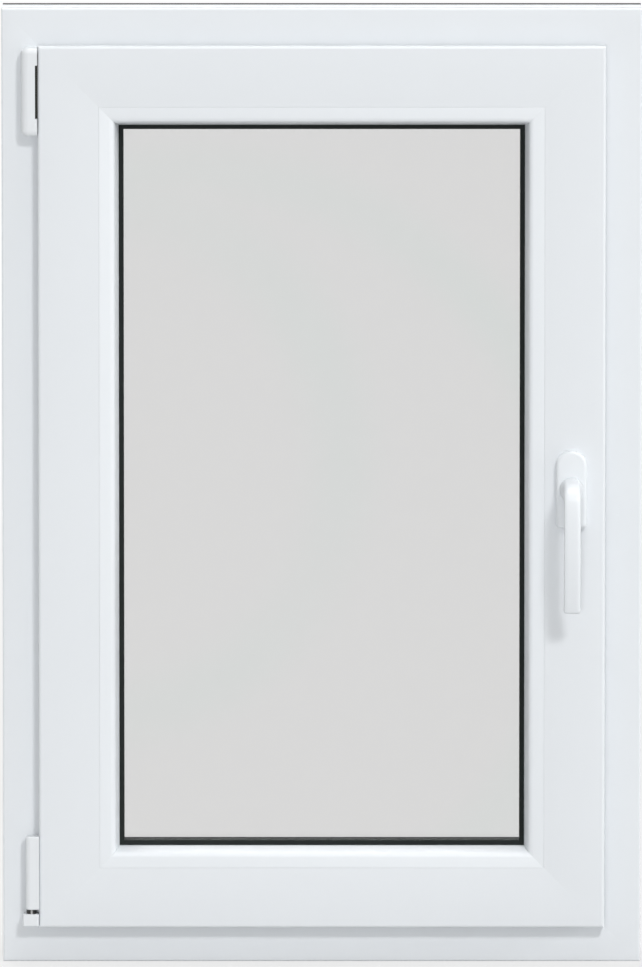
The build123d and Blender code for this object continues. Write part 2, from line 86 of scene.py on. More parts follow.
def rounded_outline(corners, steps=ARC_STEPS):
    """Closed section from (depth, inset, radius) corners, counter-clockwise. A rounded corner is cut
    back along both edges by its radius over the tangent of half the angle between them, and its arc
    is drawn about the centre at evenly spaced angles from one cut to the other."""
    table = np.array(corners, float)
    points, radii = table[:, :2], table[:, 2]
    after = np.roll(points, -1, 0)
    if np.sum(points[:, 0] * after[:, 1] - after[:, 0] * points[:, 1]) < 0:
        points, radii = points[::-1], radii[::-1]
    back = np.roll(points, 1, 0) - points
    ahead = np.roll(points, -1, 0) - points
    back /= np.linalg.norm(back, axis=1, keepdims=True)
    ahead /= np.linalg.norm(ahead, axis=1, keepdims=True)
    angle = np.arccos(np.clip(np.sum(back * ahead, 1), -1, 1))
    middle = back + ahead
    length = np.linalg.norm(middle, axis=1, keepdims=True)
    middle = np.divide(middle, length, out=np.zeros_like(middle), where=length > 1e-9)
    centre = points + middle * (radii / np.sin(angle / 2))[:, None]
    start = points + back * (radii / np.tan(angle / 2))[:, None] - centre
    turn = np.pi - angle
    cross = back[:, 0] * ahead[:, 1] - back[:, 1] * ahead[:, 0]
    swing = -np.sign(cross) * turn
    share = np.linspace(0, 1, steps)
    theta = swing[:, None] * share[None, :]
    arc_x = start[:, :1] * np.cos(theta) - start[:, 1:] * np.sin(theta)
    arc_y = start[:, :1] * np.sin(theta) + start[:, 1:] * np.cos(theta)
    arcs = centre[:, None, :] + np.stack([arc_x, arc_y], 2)
    keep = (radii[:, None] > 0) | (np.arange(steps)[None, :] == 0)
    return arcs[keep]


def inset_outline(outline, depth):
    """The same outline drawn in by a small depth along its own normals."""
    tangent = np.roll(outline, -1, 0) - np.roll(outline, 1, 0)
    tangent /= np.linalg.norm(tangent, axis=1, keepdims=True)
    return outline - depth * np.stack([tangent[:, 1], -tangent[:, 0]], 1)


def on_side(side, outline, along):
    """Points of a section at a distance along one side of the window, as X, Y, Z."""
    corner, run, inward, _ = SIDES[side]
    plane = np.array(corner) + along[:, None] * np.array(run) + outline[:, 1:] * np.array(inward)
    return np.stack([plane[:, 0], outline[:, 0] + ROOM_FACE, plane[:, 1]], 1)


def mesh_piece(name, rings, across, material, closed_run=False, sharp=SMOOTH_ANGLE):
    """Object from rings of points, joined ring to ring by quads and capped at both ends unless the run
    closes on itself. Its UV holds the distance along the run and the distance round the section."""
    count, size = rings.shape[:2]
    ring = np.arange(count if closed_run else count - 1)
    step = np.arange(size)
    low = ring[:, None] * size
    high = ((ring[:, None] + 1) % count) * size
    ahead = (step[None, :] + 1) % size
    quads = np.stack([low + step, low + ahead, high + ahead, high + step], 2).reshape(-1, 4)
    faces = quads.tolist()
    if not closed_run:
        faces += [step[::-1].tolist(), (step + (count - 1) * size).tolist()]
    mesh = bpy.data.meshes.new(name)
    mesh.from_pydata(rings.reshape(-1, 3).tolist(), [], faces)
    around = np.linalg.norm(np.roll(across, -1, 0) - across, axis=1)
    around = np.concatenate([[0], np.cumsum(around)])
    travel = np.linalg.norm(np.diff(rings.mean(1), axis=0), axis=1)
    travel = np.concatenate([[0], np.cumsum(travel)])
    travel = np.append(travel, travel[-1] * 2) if closed_run else travel
    near = np.broadcast_to(travel[ring][:, None], (len(ring), size))
    far = np.broadcast_to(travel[ring + 1][:, None], (len(ring), size))
    left = np.broadcast_to(around[:-1], near.shape)
    right = np.broadcast_to(around[1:], near.shape)
    wall = np.stack([near, left, near, right, far, right, far, left], 2).reshape(-1, 2)
    caps = np.zeros((0 if closed_run else 2 * size, 2))
    mesh.uv_layers.new(name="run")
    mesh.uv_layers["run"].data.foreach_set("uv", np.concatenate([wall, caps]).astype(np.float32).ravel())
    mesh.polygons.foreach_set("use_smooth", np.ones(len(faces), bool))
    mesh.set_sharp_from_angle(angle=math.radians(sharp))
    mesh.validate()
    piece = bpy.data.objects.new(name, mesh)
    bpy.context.scene.collection.objects.link(piece)
    mesh.materials.append(material)
    return piece


def mitred_length(name, corners, side, material, joint_depth=WELD_DEPTH):
    """One side's length of a profile. Its end sections lie on the 45 degree mitre, where a point's distance
    along the run equals its inset, and they are drawn in a little there to leave the joint's fine line."""
    outline = rounded_outline(corners)
    drawn_in = inset_outline(outline, joint_depth)
    length = SIDES[side][3]
    rings = np.stack([
        on_side(side, drawn_in, outline[:, 1]),
        on_side(side, outline, outline[:, 1] + WELD_WIDTH),
        on_side(side, outline, length - outline[:, 1] - WELD_WIDTH),
        on_side(side, drawn_in, length - outline[:, 1]),
    ])
    return mesh_piece(name, rings, outline, material)


def new_material(name):
    """Empty node material with its shader and output: returns the material, its nodes, links and shader."""
    material = bpy.data.materials.new(name)
    material.use_nodes = True
    tree = material.node_tree
    return material, tree.nodes, tree.links, tree.nodes["Principled BSDF"]


def skin_group():
    """Moulded or extruded skin. A broad noise over the place shifts the colour a little. A finer noise over
    the grain shifts the roughness, and a second one gives a very low relief, as the die or mould
    leaves it."""
    group = bpy.data.node_groups.new("skin", "ShaderNodeTree")
    face = group.interface
    face.new_socket("Place", in_out="INPUT", socket_type="NodeSocketVector")
    face.new_socket("Grain", in_out="INPUT", socket_type="NodeSocketVector")
    face.new_socket("Colour", in_out="INPUT", socket_type="NodeSocketColor")
    face.new_socket("Shade", in_out="INPUT", socket_type="NodeSocketColor")
    for label in ("Broad scale", "Fine scale", "Roughness", "Roughness spread", "Relief"):
        face.new_socket(label, in_out="INPUT", socket_type="NodeSocketFloat")
    face.new_socket("Colour", in_out="OUTPUT", socket_type="NodeSocketColor")
    face.new_socket("Roughness", in_out="OUTPUT", socket_type="NodeSocketFloat")
    face.new_socket("Normal", in_out="OUTPUT", socket_type="NodeSocketVector")
    make, join = group.nodes.new, group.links.new
    entry, leave = make("NodeGroupInput"), make("NodeGroupOutput")
    broad, fine, grain = make("ShaderNodeTexNoise"), make("ShaderNodeTexNoise"), make("ShaderNodeTexNoise")
    tint = make("ShaderNodeMix")
    tint.data_type = "RGBA"
    spread, bump = make("ShaderNodeMath"), make("ShaderNodeBump")
    spread.operation = "MULTIPLY_ADD"
    centred = make("ShaderNodeMath")
    centred.operation = "SUBTRACT"
    centred.inputs[1].default_value = 0.5
    broad.inputs["Detail"].default_value = 2.0
    fine.inputs["Detail"].default_value = 3.0
    bump.inputs["Distance"].default_value = SKIN_HEIGHT
    join(entry.outputs["Place"], broad.inputs["Vector"])
    join(entry.outputs["Grain"], fine.inputs["Vector"])
    join(entry.outputs["Grain"], grain.inputs["Vector"])
    join(entry.outputs["Broad scale"], broad.inputs["Scale"])
    join(entry.outputs["Fine scale"], fine.inputs["Scale"])
    join(entry.outputs["Fine scale"], grain.inputs["Scale"])
    join(broad.outputs["Fac"], tint.inputs["Factor"])
    join(entry.outputs["Colour"], tint.inputs["A"])
    join(entry.outputs["Shade"], tint.inputs["B"])
    join(fine.outputs["Fac"], centred.inputs[0])
    join(centred.outputs[0], spread.inputs[0])
    join(entry.outputs["Roughness spread"], spread.inputs[1])
    join(entry.outputs["Roughness"], spread.inputs[2])
    join(grain.outputs["Fac"], bump.inputs["Height"])
    join(entry.outputs["Relief"], bump.inputs["Strength"])
    join(tint.outputs["Result"], leave.inputs["Colour"])
    join(spread.outputs[0], leave.inputs["Roughness"])
    join(bump.outputs["Normal"], leave.inputs["Normal"])
    return group


SKIN = skin_group()


def skinned(name, colour, roughness, spread, relief, broad, fine, drawn=None, dim=0.985):
    """Material with the skin group. The grain of drawn lengths reads their own run with its long way
    stretched out; that of other pieces reads their place on the object."""
    material, made, links, shader = new_material(name)
    skin = made.new("ShaderNodeGroup")
    skin.node_tree = SKIN
    skin.inputs["Colour"].default_value = (*colour, 1)
    skin.inputs["Shade"].default_value = (*(part * dim for part in colour), 1)
    skin.inputs["Broad scale"].default_value = broad
    skin.inputs["Fine scale"].default_value = fine
    skin.inputs["Roughness"].default_value = roughness
    skin.inputs["Roughness spread"].default_value = spread
    skin.inputs["Relief"].default_value = relief
    place = made.new("ShaderNodeTexCoord")
    links.new(place.outputs["Object"], skin.inputs["Place"])
    if drawn is None:
        links.new(place.outputs["Object"], skin.inputs["Grain"])
    else:
        stretch = made.new("ShaderNodeMapping")
        stretch.inputs["Scale"].default_value = (1 / drawn, 1, 1)
        links.new(place.outputs["UV"], stretch.inputs["Vector"])
        links.new(stretch.outputs["Vector"], skin.inputs["Grain"])
    links.new(skin.outputs["Colour"], shader.inputs["Base Color"])
    links.new(skin.outputs["Roughness"], shader.inputs["Roughness"])
    links.new(skin.outputs["Normal"], shader.inputs["Normal"])
    return material, shader


white_pvc, pvc_shader = skinned(
    "white_pvc", PVC_WHITE, PVC_ROUGHNESS, spread=0.06, relief=0.012, broad=9, fine=900, drawn=40)
pvc_shader.inputs["IOR"].default_value = PVC_IOR

TAPE_FRONT = FRAME_DEPTH - TAPE_WIDTH
frame_corners = [
    (0, 0, FRAME_ROUND),
    (0, FRAME_FACE, FRAME_ROUND),
    (LIP_FRONT, FRAME_FACE, 0),
    (LIP_FRONT, FRAME_LIP_EDGE, FRAME_ROUND),
    (FRAME_DEPTH, FRAME_LIP_EDGE - FRAME_LIP_FALL, FRAME_ROUND),
    (FRAME_DEPTH, TAPE_THICKNESS, 0),
    (TAPE_FRONT, TAPE_THICKNESS, 0),
    (TAPE_FRONT, 0, 0),
]
for groove in (TAPE_FRONT - GROOVE_LAND - GROOVE_WIDTH, GROOVE_SETBACK):
    frame_corners += [
        (groove + GROOVE_WIDTH, 0, 0),
        (groove + GROOVE_WIDTH, GROOVE_DEPTH, 0),
        (groove, GROOVE_DEPTH, 0),
        (groove, 0, 0),
    ]
FRAME_NAMES = {
    "bottom": "frame_sill",
    "right": "frame_jamb_right",
    "top": "frame_head",
    "left": "frame_jamb_left",
}
for side, node in FRAME_NAMES.items():
    piece = mitred_length(node + "_profile", frame_corners, side, white_pvc)
    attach(piece, "window")
    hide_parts(node)

# Perimeter tape
# A strip of dark foam sealing tape, let in flush round the back of the frame's outer faces.
# Its open cells make it rough and quite matt.
TAPE_COLOUR = (0.030, 0.030, 0.032)
TAPE_ROUGHNESS = 0.85
foam_tape, _ = skinned(
    "foam_tape", TAPE_COLOUR, TAPE_ROUGHNESS, spread=0.2, relief=0.6, broad=60, fine=1400, dim=0.6)


def closed_strip(name, corners, material):
    """A section carried once round the window, with its corners on the mitres."""
    outline = rounded_outline(corners)
    rings = np.stack([on_side(side, outline, outline[:, 1]) for side in SIDES])
    return mesh_piece(name, rings, outline, material, closed_run=True)


tape = closed_strip("perimeter_tape", [
    (TAPE_FRONT, 0, 0),
    (TAPE_FRONT, TAPE_THICKNESS, 0),
    (FRAME_DEPTH, TAPE_THICKNESS, 0),
    (FRAME_DEPTH, 0, 0),
], foam_tape)
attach(tape, "window")
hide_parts("perimeter_seal")

# Sash
# Four welded lengths of a deeper profile. Its lip laps over the frame on the room side, and its
# exterior leg and the beads hold the glass between them.
SASH_PROJECTION = 0.018
SASH_DEPTH = 0.070
SASH_OVERLAP = 0.0078
SASH_FACE = 0.0571
REBATE_GAP = 0.012
SEAL_GAP = 0.004
SASH_ROUND = 0.003
SASH_LEG_HEIGHT = 0.0197
SASH_LEG_FALL = 0.004
SASH_LEG_DEPTH = 0.015
CLIP_SETBACK = 0.012
CLIP_WIDTH = 0.005
CLIP_HEIGHT = 0.005
SEAM_ROUND = 0.00012

SASH_BACK = SASH_DEPTH - SASH_PROJECTION
SASH_EDGE = FRAME_FACE - SASH_OVERLAP
SASH_BODY = FRAME_FACE + REBATE_GAP
BEAD_FLOOR = SASH_EDGE + SASH_FACE
LEG_FRONT = SASH_BACK - SASH_LEG_DEPTH
LEG_EDGE = BEAD_FLOOR + SASH_LEG_HEIGHT
CLIP_FRONT = CLIP_SETBACK - SASH_PROJECTION
sash_corners = [
    (-SASH_PROJECTION, SASH_EDGE, SASH_ROUND),
    (-SASH_PROJECTION, BEAD_FLOOR, SEAM_ROUND),
    (CLIP_FRONT, BEAD_FLOOR, 0),
    (CLIP_FRONT, BEAD_FLOOR - CLIP_HEIGHT, 0),
    (CLIP_FRONT + CLIP_WIDTH, BEAD_FLOOR - CLIP_HEIGHT, 0),
    (CLIP_FRONT + CLIP_WIDTH, BEAD_FLOOR, 0),
    (LEG_FRONT, BEAD_FLOOR, 0),
    (LEG_FRONT, LEG_EDGE, 0),
    (SASH_BACK, LEG_EDGE - SASH_LEG_FALL, SASH_ROUND),
    (SASH_BACK, SASH_BODY, 0),
    (-SEAL_GAP, SASH_BODY, 0),
    (-SEAL_GAP, SASH_EDGE, FRAME_ROUND),
]
SASH_NAMES = {
    "bottom": "sash_bottom_rail",
    "right": "sash_lock_stile",
    "top": "sash_top_rail",
    "left": "sash_hinge_stile",
}
for side, node in SASH_NAMES.items():
    piece = mitred_length(node + "_profile", sash_corners, side, white_pvc)
    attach(piece, "window")
    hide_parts(node)

# Rebate seals
# Two grey rubber strips close the gap between sash and frame, one under the sash's lip and one on the
# frame's exterior lip. Each stands on a flat foot and narrows to a rounded tip.
SEAL_WIDTH = 0.004
SEAL_SETBACK = 0.003
SEAL_TAPER = 0.001
SEAL_ROUND = 0.0008
SEAL_COLOUR = (0.33, 0.335, 0.34)
SEAL_ROUGHNESS = 0.6
grey_rubber, _ = skinned(
    "grey_rubber", SEAL_COLOUR, SEAL_ROUGHNESS, spread=0.1, relief=0.1, broad=40, fine=1200)
SEALS = {
    "sash_seal": (-SEAL_GAP, 0.0, SASH_EDGE + SEAL_SETBACK),
    "frame_seal": (LIP_FRONT, SASH_BACK, SASH_BODY + SEAL_SETBACK),
}
for node, (seat, tip, inset) in SEALS.items():
    seal = closed_strip(node + "_strip", [
        (seat, inset, 0),
        (seat, inset + SEAL_WIDTH, 0),
        (tip, inset + SEAL_WIDTH - SEAL_TAPER, SEAL_ROUND),
        (tip, inset + SEAL_TAPER, SEAL_ROUND),
    ], grey_rubber)
    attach(seal, "window")
    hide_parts(node)

# Glass unit
# Two sheets of float glass with a matt black spacer bar sealed between their edges. A heat-reflecting
# film takes a little of the light, and very faint broad arcs of painted reflection shift its tint.
GLASS_TINT = (0.822, 0.821, 0.820)
# The tint of the faint arcs, a painted reflection in the glass.
GLASS_PAINTED_REFLECTION_TINT = (0.800, 0.820, 0.812)
GLASS_SHADOW_TINT = (0.82, 0.82, 0.82)
GLASS_IOR = 1.5
PAINTED_REFLECTION_NOISE_SCALE = 4.0
SPACER_COLOUR = (0.050, 0.058, 0.055)
SPACER_ROUGHNESS = 0.55

# Each painted reflection arc's centre, radius and half width.
PAINTED_REFLECTION_ARCS = (((-0.225, 0.0, 0.475), 0.245, 0.055), ((-0.130, 0.0, 0.370), 0.375, 0.045))


def glass_material():
    """Clear glass whose tint swings slightly along two broad arcs of painted reflection: each is the distance
    from a centre less a radius, made positive, and fades out over the arc's width. A noise breaks the arcs
    up.
    Shadow rays pass straight through, so that light reaches what is behind the glass."""
    material, made, links, shader = new_material("float_glass")
    place, flat = made.new("ShaderNodeTexCoord"), made.new("ShaderNodeMapping")
    flat.inputs["Scale"].default_value = (1, 0, 1)
    links.new(place.outputs["Object"], flat.inputs["Vector"])
    reflection_noise = made.new("ShaderNodeTexNoise")
    reflection_noise.inputs["Scale"].default_value = PAINTED_REFLECTION_NOISE_SCALE
    reflection_noise.inputs["Detail"].default_value = 1.0
    links.new(flat.outputs["Vector"], reflection_noise.inputs["Vector"])
    marks = []
    for centre, radius, width in PAINTED_REFLECTION_ARCS:
        away, off, size, fade = (made.new(kind) for kind in (
            "ShaderNodeVectorMath", "ShaderNodeMath", "ShaderNodeMath", "ShaderNodeMapRange"))
        away.operation, off.operation, size.operation = "DISTANCE", "SUBTRACT", "ABSOLUTE"
        away.inputs[1].default_value = centre
        off.inputs[1].default_value = radius
        fade.interpolation_type = "SMOOTHSTEP"
        fade.inputs["From Max"].default_value = width
        fade.inputs["To Min"].default_value = 1.0
        fade.inputs["To Max"].default_value = 0.0
        links.new(flat.outputs["Vector"], away.inputs[0])
        links.new(away.outputs["Value"], off.inputs[0])
        links.new(off.outputs[0], size.inputs[0])
        links.new(size.outputs[0], fade.inputs["Value"])
        marks.append(fade.outputs["Result"])
    most, broken = made.new("ShaderNodeMath"), made.new("ShaderNodeMath")
    most.operation, broken.operation = "MAXIMUM", "MULTIPLY"
    links.new(marks[0], most.inputs[0])
    links.new(marks[1], most.inputs[1])
    links.new(most.outputs[0], broken.inputs[0])
    links.new(reflection_noise.outputs["Fac"], broken.inputs[1])
    tint = made.new("ShaderNodeMix")
    tint.data_type = "RGBA"
    tint.inputs["A"].default_value = (*GLASS_TINT, 1)
    tint.inputs["B"].default_value = (*GLASS_PAINTED_REFLECTION_TINT, 1)
    links.new(broken.outputs[0], tint.inputs["Factor"])
    links.new(tint.outputs["Result"], shader.inputs["Base Color"])
    shader.inputs["Roughness"].default_value = 0.0
    shader.inputs["IOR"].default_value = GLASS_IOR
    shader.inputs["Transmission Weight"].default_value = 1.0
    path, clear, both = (made.new(kind) for kind in (
        "ShaderNodeLightPath", "ShaderNodeBsdfTransparent", "ShaderNodeMixShader"))
    clear.inputs["Color"].default_value = (*GLASS_SHADOW_TINT, 1)
    links.new(path.outputs["Is Shadow Ray"], both.inputs["Fac"])
    links.new(shader.outputs["BSDF"], both.inputs[1])
    links.new(clear.outputs["BSDF"], both.inputs[2])
    links.new(both.outputs["Shader"], made["Material Output"].inputs["Surface"])
    return material


def finish_node(node, material):
    """Give a CAD node one material in place of those it came with."""
    nodes[node].data.materials.clear()
    nodes[node].data.materials.append(material)


float_glass = glass_material()
for node in ("inner_glass_pane", "outer_glass_pane"):
    finish_node(node, float_glass)

black_spacer, spacer_shader = skinned(
    "black_spacer", SPACER_COLOUR, SPACER_ROUGHNESS, spread=0.1, relief=0.05, broad=30, fine=900, dim=0.8)
spacer_shader.inputs["Specular IOR Level"].default_value = 0.0
finish_node("glass_spacer", black_spacer)

# Glazing gaskets
# Black rubber strips on both faces of the glass. The inner one shows past the beads as a black line with
# a sloping lip that lies on the glass.
GASKET_SIGHT = 0.0043
GASKET_LIP = 0.001
GASKET_ROOT = 0.010
GASKET_ROUND = 0.0006
BEAD_HEIGHT = 0.0183
GASKET_COLOUR = (0.024, 0.028, 0.027)
GASKET_ROUGHNESS = 0.6
GASKET_SHINE = 0.05
black_rubber, rubber_shader = skinned(
    "black_rubber", GASKET_COLOUR, GASKET_ROUGHNESS, spread=0.12, relief=0.08, broad=50, fine=1100, dim=0.7)
rubber_shader.inputs["Specular IOR Level"].default_value = GASKET_SHINE

BEAD_EDGE = BEAD_FLOOR + BEAD_HEIGHT
SIGHT_EDGE = BEAD_EDGE + GASKET_SIGHT
inner_low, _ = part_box("inner_glass_pane")
_, outer_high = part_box("outer_glass_pane")
GLASS_FRONT = inner_low.y - ROOM_FACE
GLASS_BACK = outer_high.y - ROOM_FACE
gasket_low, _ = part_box("inner_glazing_gasket")
BEAD_BACK = gasket_low.y - ROOM_FACE
GASKETS = {
    "inner_glazing_gasket": [
        (BEAD_BACK, BEAD_EDGE - GASKET_ROOT, 0),
        (BEAD_BACK, BEAD_EDGE, 0),
        (GLASS_FRONT - GASKET_LIP, SIGHT_EDGE, GASKET_ROUND),
        (GLASS_FRONT, SIGHT_EDGE, 0),
        (GLASS_FRONT, BEAD_EDGE - GASKET_ROOT, 0),
    ],
    "outer_glazing_gasket": [
        (LEG_FRONT, LEG_EDGE - GASKET_ROOT, 0),
        (LEG_FRONT, LEG_EDGE, 0),
        (GLASS_BACK + GASKET_LIP, SIGHT_EDGE, GASKET_ROUND),
        (GLASS_BACK, SIGHT_EDGE, 0),
        (GLASS_BACK, LEG_EDGE - GASKET_ROOT, 0),
    ],
}
for node, corners in GASKETS.items():
    gasket = closed_strip(node + "_strip", corners, black_rubber)
    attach(gasket, "window")
    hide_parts(node)

# Glazing beads
# Four lengths of a small profile, cut at 45 degrees and pressed into the sash's clip groove, so their
# joints stay as fine lines. A rounded shoulder turns into a steep face towards the glass.
BEAD_LEAN = 0.004
BEAD_SHOULDER = 0.0055
BEAD_SEAM = 0.00008
BEAD_JOINT_DEPTH = 0.00008
CLIP_CLEARANCE = 0.0003
BEAD_ROUGHNESS = 0.45
BEAD_WHITE = (0.826, 0.858, 0.887)

BEAD_BASE = BEAD_FLOOR + BEAD_SEAM
CLIP_FOOT = BEAD_FLOOR - CLIP_HEIGHT + CLIP_CLEARANCE
bead_corners = [
    (-SASH_PROJECTION, BEAD_BASE, SEAM_ROUND),
    (-SASH_PROJECTION, BEAD_EDGE - BEAD_LEAN, BEAD_SHOULDER),
    (BEAD_BACK, BEAD_EDGE, SEAM_ROUND),
    (BEAD_BACK, BEAD_BASE, 0),
    (CLIP_FRONT + CLIP_WIDTH - CLIP_CLEARANCE, BEAD_BASE, 0),
    (CLIP_FRONT + CLIP_WIDTH - CLIP_CLEARANCE, CLIP_FOOT, 0),
    (CLIP_FRONT + CLIP_CLEARANCE, CLIP_FOOT, 0),
    (CLIP_FRONT + CLIP_CLEARANCE, BEAD_BASE, 0),
]
bead_pvc, bead_shader = skinned(
    "bead_pvc", BEAD_WHITE, BEAD_ROUGHNESS, spread=0.06, relief=0.03, broad=12, fine=900, drawn=40)
bead_shader.inputs["IOR"].default_value = PVC_IOR
for side in SIDES:
    piece = mitred_length(f"glazing_bead_{side}_profile", bead_corners, side, bead_pvc, BEAD_JOINT_DEPTH)
    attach(piece, "window")
    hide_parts(f"glazing_bead_{side}")

# Hinges
# White moulded covers on the left of the frame. The upper cap hides a steel bearing whose arm reaches the
# sash through a slot; the lower sleeve turns on a pin in a block, with a dark bush between them.
MOULDING_WHITE = (0.787, 0.815, 0.838)
STEEL_COLOUR = (0.06, 0.06, 0.055)
BUSH_COLOUR = (0.012, 0.012, 0.011)
# Painted highlight on the bush: the colour of a light upright line down its front, and the distances from the
# pin's axis over which it fades out.
BUSH_PAINTED_HIGHLIGHT = (0.50, 0.50, 0.49)
BUSH_PAINTED_HIGHLIGHT_HALF = (0.0002, 0.0014)
MOULDING_ROUGHNESS, STEEL_ROUGHNESS, BUSH_ROUGHNESS = 0.38, 0.45, 0.35
white_moulding, _ = skinned(
    "white_moulding", MOULDING_WHITE, MOULDING_ROUGHNESS, spread=0.08, relief=0.06, broad=30, fine=1300)
hinge_steel, steel_shader = skinned(
    "hinge_steel", STEEL_COLOUR, STEEL_ROUGHNESS, spread=0.15, relief=0.1, broad=60, fine=1500, dim=0.8)
steel_shader.inputs["Metallic"].default_value = 1.0


def bush_material():
    """Dark plastic with a painted highlight: a soft light upright line down its front, over the pin's axis,
    whose share falls with the sideways distance from that axis."""
    material, shader = skinned(
        "dark_bush", BUSH_COLOUR, BUSH_ROUGHNESS, spread=0.1, relief=0.05, broad=60, fine=1500)
    made, links = material.node_tree.nodes, material.node_tree.links
    pin_low, pin_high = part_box("bottom_hinge_pin")
    place, split, line = (made.new(kind) for kind in (
        "ShaderNodeTexCoord", "ShaderNodeSeparateXYZ", "ShaderNodeMapRange"))
    aside, size = made.new("ShaderNodeMath"), made.new("ShaderNodeMath")
    aside.operation, size.operation = "SUBTRACT", "ABSOLUTE"
    aside.inputs[1].default_value = (pin_low.x + pin_high.x) / 2
    line.interpolation_type = "SMOOTHSTEP"
    line.inputs["From Min"].default_value, line.inputs["From Max"].default_value = BUSH_PAINTED_HIGHLIGHT_HALF
    line.inputs["To Min"].default_value, line.inputs["To Max"].default_value = 1.0, 0.0
    # The painted highlight's colour is mixed over the bush's own dark colour.
    blend = made.new("ShaderNodeMix")
    blend.data_type = "RGBA"
    blend.inputs["B"].default_value = (*BUSH_PAINTED_HIGHLIGHT, 1)
    links.new(place.outputs["Object"], split.inputs["Vector"])
    links.new(split.outputs["X"], aside.inputs[0])
    links.new(aside.outputs[0], size.inputs[0])
    links.new(size.outputs[0], line.inputs["Value"])
    links.new(line.outputs["Result"], blend.inputs["Factor"])
    links.new(shader.inputs["Base Color"].links[0].from_socket, blend.inputs["A"])
    links.new(blend.outputs["Result"], shader.inputs["Base Color"])
    return material


dark_bush = bush_material()
FINISHES = {
    "top_hinge_cap": white_moulding,
    "bottom_hinge_sleeve": white_moulding,
    "bottom_hinge_block": white_moulding,
    "top_hinge_bearing": hinge_steel,
    "top_hinge_pin": hinge_steel,
    "top_hinge_arm": hinge_steel,
    "bottom_hinge_pin": hinge_steel,
    "bottom_hinge_bush": dark_bush,
}
for node, material in FINISHES.items():
    finish_node(node, material)

# Handle rosette
# A white lacquered cover plate with a round head, screwed to the stile under the lever. Its front edge is
# rounded, and the lever's collar turns in a shallow recess at its middle.
ROSETTE_CROWN = 0.0006
ROSETTE_FOOT_ROUND = 0.004
ROSETTE_EDGE_ROUND = 0.0035
COLLAR_RADIUS = 0.01125
COLLAR_CLEARANCE = 0.0001
COLLAR_SEAT = 0.003
ROSETTE_POINTS = 168
HEAD_STEPS = 24
LACQUER_WHITE = (0.808, 0.840, 0.868)
LACQUER_ROUGHNESS = 0.40
LACQUER_COAT, LACQUER_COAT_ROUGHNESS = 0.05, 0.10
white_lacquer, lacquer_shader = skinned(
    "white_lacquer", LACQUER_WHITE, LACQUER_ROUGHNESS, spread=0.05, relief=0.02, broad=25, fine=700)
lacquer_shader.inputs["Coat Weight"].default_value = LACQUER_COAT
lacquer_shader.inputs["Coat Roughness"].default_value = LACQUER_COAT_ROUGHNESS

rosette_low, rosette_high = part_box("handle_rosette")
HANDLE_X = (rosette_low.x + rosette_high.x) / 2
HANDLE_Z = (rosette_low.z + rosette_high.z) / 2
SASH_FRONT = rosette_high.y
ROSETTE_THICKNESS = rosette_high.y - rosette_low.y
ROSETTE_WIDTH = rosette_high.x - rosette_low.x
ROSETTE_HEIGHT = rosette_high.z - rosette_low.z


def from_handle(right, up, reach):
    """Points given from the handle's axis: to the right, up, and out of the sash into the room."""
    return np.stack([HANDLE_X + right, SASH_FRONT - reach + 0 * right, HANDLE_Z + up], -1)


def even_outline(outline, count):
    """The same closed outline with points at equal distances round it."""
    closed = np.concatenate([outline, outline[:1]])
    travel = np.concatenate([[0], np.cumsum(np.linalg.norm(np.diff(closed, axis=0), axis=1))])
    marks = np.linspace(0, travel[-1], count, endpoint=False)
    return np.stack([np.interp(marks, travel, closed[:, axis]) for axis in (0, 1)], 1)


def rosette_rings():
    """Rings from the back edge up the side, over a quarter-round front edge, across the flat front to the
    collar's recess and down its wall. Side rings are the outline drawn in; the recess is a circle whose
    points stand at the same angles as the outline's."""
    half_width, half_height = ROSETTE_WIDTH / 2, ROSETTE_HEIGHT / 2
    head = (ROSETTE_WIDTH - ROSETTE_CROWN) / 2
    plate = rounded_outline([
        (-half_width, -half_height, ROSETTE_FOOT_ROUND),
        (half_width, -half_height, ROSETTE_FOOT_ROUND),
        (half_width, half_height, head),
        (-half_width, half_height, head),
    ], steps=HEAD_STEPS)
    plate = even_outline(plate, ROSETTE_POINTS)
    quarter = np.linspace(0, np.pi / 2, ARC_STEPS)
    drawn = np.concatenate([[0], ROSETTE_EDGE_ROUND * (1 - np.cos(quarter))])
    rise = ROSETTE_THICKNESS - ROSETTE_EDGE_ROUND * (1 - np.sin(quarter))
    rise = np.concatenate([[0], rise])
    side = np.stack([from_handle(*inset_outline(plate, depth).T, reach) for depth, reach in zip(drawn, rise)])
    angle = np.arctan2(plate[:, 1], plate[:, 0])
    recess = COLLAR_RADIUS + COLLAR_CLEARANCE
    ring_right, ring_up = recess * np.cos(angle), recess * np.sin(angle)
    floor = ROSETTE_THICKNESS - COLLAR_SEAT
    inner = np.stack([from_handle(ring_right, ring_up, reach) for reach in (ROSETTE_THICKNESS, floor)])
    return np.concatenate([side, inner]), plate


rings, plate = rosette_rings()
rosette = mesh_piece("rosette_plate", rings[:, ::-1], plate, white_lacquer)
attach(rosette, "window")
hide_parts("handle_rosette")

# Handle lever
# A cast and lacquered lever: a round collar, a neck that runs out of it and turns flat, an elbow, and a
# grip that bows back towards the sash. It turns with its square steel spindle.
LEVER_WIDTH = 0.0155
NECK_HEIGHT = 0.019
NECK_REACH = 0.036
COLLAR_STAND = 0.003
LEVER_REACH = 0.059
LEVER_LENGTH = 0.113
LEVER_THICKNESS = 0.010
LEVER_END_THICKNESS = 0.008
LEVER_BOW = 0.015
GRIP_TUCK = 0.002
GRIP_BULGE = 0.011
ELBOW_ROUND = 0.017
CROOK_ROUND = 0.009
LEVER_POINTS = 64
NECK_STEPS, BEND_STEPS, GRIP_STEPS, TIP_STEPS = 14, 14, 24, 6
LEVER_SMOOTH_ANGLE = 50
SQUARENESS = 4.0
TIP_ROUND = 0.0024


